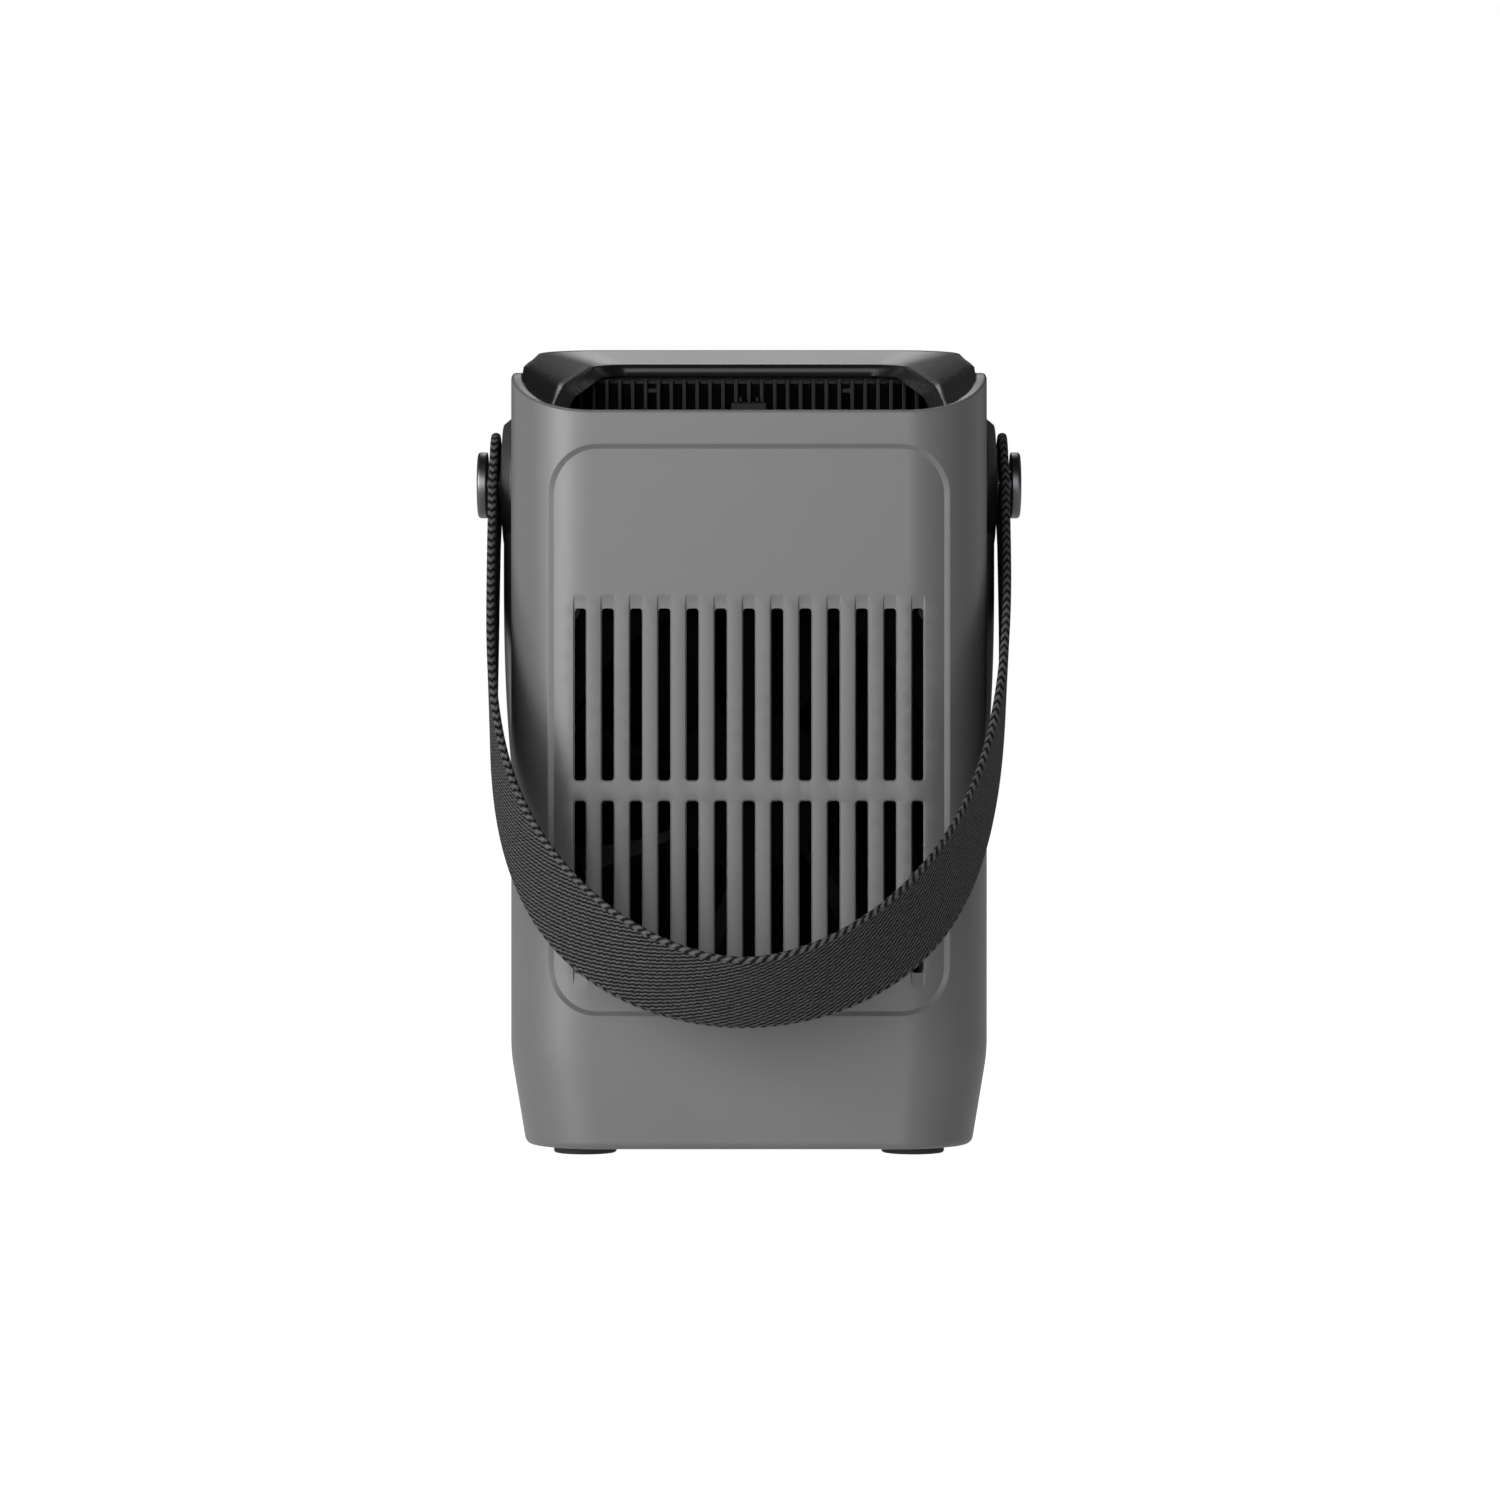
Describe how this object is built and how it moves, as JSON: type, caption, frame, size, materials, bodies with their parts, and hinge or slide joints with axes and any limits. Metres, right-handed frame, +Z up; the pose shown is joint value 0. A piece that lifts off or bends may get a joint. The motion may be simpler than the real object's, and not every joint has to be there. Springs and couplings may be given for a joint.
{
  "type": "compact box fan",
  "caption": "Compact cordless box fan: upright rounded square housing, slotted front grille, sloping black top air collar with fins, swinging webbing carrying loop.",
  "frame": {"origin": "centre of the plane that the four feet stand on", "axes": "+Z up, front grille faces -Y, +X to the right seen from the front"},
  "size_m": [0.1296, 0.1628, 0.1932],
  "materials": {
    "shell_plastic": "fine sand texture, satin sheen",
    "collar_plastic": "spark-eroded fine grain, black",
    "side_plastic": "fine grain, charcoal",
    "webbing": "twill-woven webbing with braided edges",
    "stud_metal": "dark anodised, satin",
    "fixing_steel": "zinc plated",
    "foot_rubber": "matt",
    "fan_plastic": "moulded, black",
    "winding": "enamelled copper wire",
    "cell_wrap": "shrink sleeve",
    "board_green": "solder mask",
    "port_steel": "stamped shell",
    "button_plastic": "satin black",
    "light_clear": "frosted clear",
    "mesh_dark": "woven screen",
    "lead_black": "PVC sleeve",
    "lead_red": "PVC sleeve"
  },
  "bodies": {
    "housing": {"front_shell": "shell_plastic", "rear_shell": "shell_plastic", "base_plate": "shell_plastic", "top_collar": "collar_plastic", "louvre_frame": "collar_plastic", "louvre_grille": "collar_plastic", "louvre_comb": "collar_plastic", "louvre_latch": "collar_plastic", "louvre_screws": "fixing_steel", "side_rail_left": "side_plastic", "side_rail_right": "side_plastic", "pivot_boss_left": "side_plastic", "pivot_boss_right": "side_plastic", "washer_left": "side_plastic", "washer_right": "side_plastic", "stud_left": "stud_metal", "stud_right": "stud_metal", "stud_nut_left": "fixing_steel", "stud_nut_right": "fixing_steel", "foot_front_left": "foot_rubber", "foot_front_right": "foot_rubber", "foot_rear_left": "foot_rubber", "foot_rear_right": "foot_rubber", "foot_middle": "foot_rubber", "fan_frame": "fan_plastic", "motor_bridge": "fan_plastic", "stator": "winding", "bearing_front": "fixing_steel", "bearing_rear": "fixing_steel", "fan_screws": "fixing_steel", "fan_grommets": "foot_rubber", "battery_cells": "cell_wrap", "cell_tray": "fan_plastic", "cell_strips": "fixing_steel", "battery_board": "board_green", "bay_cover": "fan_plastic", "bay_screws": "fixing_steel", "main_board": "board_green", "board_screws": "fixing_steel", "usb_port": "port_steel", "tact_switch": "button_plastic", "control_panel": "collar_plastic", "light_pipe": "light_clear", "intake_mesh": "mesh_dark", "base_screws": "fixing_steel", "fan_lead": "lead_black", "battery_lead": "lead_red"},
    "rotor": {"impeller": "fan_plastic", "rotor_yoke": "fixing_steel", "motor_shaft": "fixing_steel"},
    "loop": {"strap_webbing": "webbing", "eyelet_left": "fixing_steel", "eyelet_right": "fixing_steel"},
    "button": {"power_button": "button_plastic"}
  },
  "joints": [
    {"name": "rotor_spin", "type": "hinge", "parent": "housing", "child": "rotor", "pos_m": [0, 0, 0.0836], "axis": [0, 1, 0], "continuous": true},
    {"name": "loop_swing", "type": "hinge", "parent": "housing", "child": "loop", "pos_m": [0, 0, 0.1562], "axis": [-1, 0, 0], "range_deg": [0, 278]},
    {"name": "button_press", "type": "slide", "parent": "housing", "child": "button", "axis": [0, -1, 0], "range_m": [0, 0.0008], "stiffness_N_per_m": 400}
  ]
}
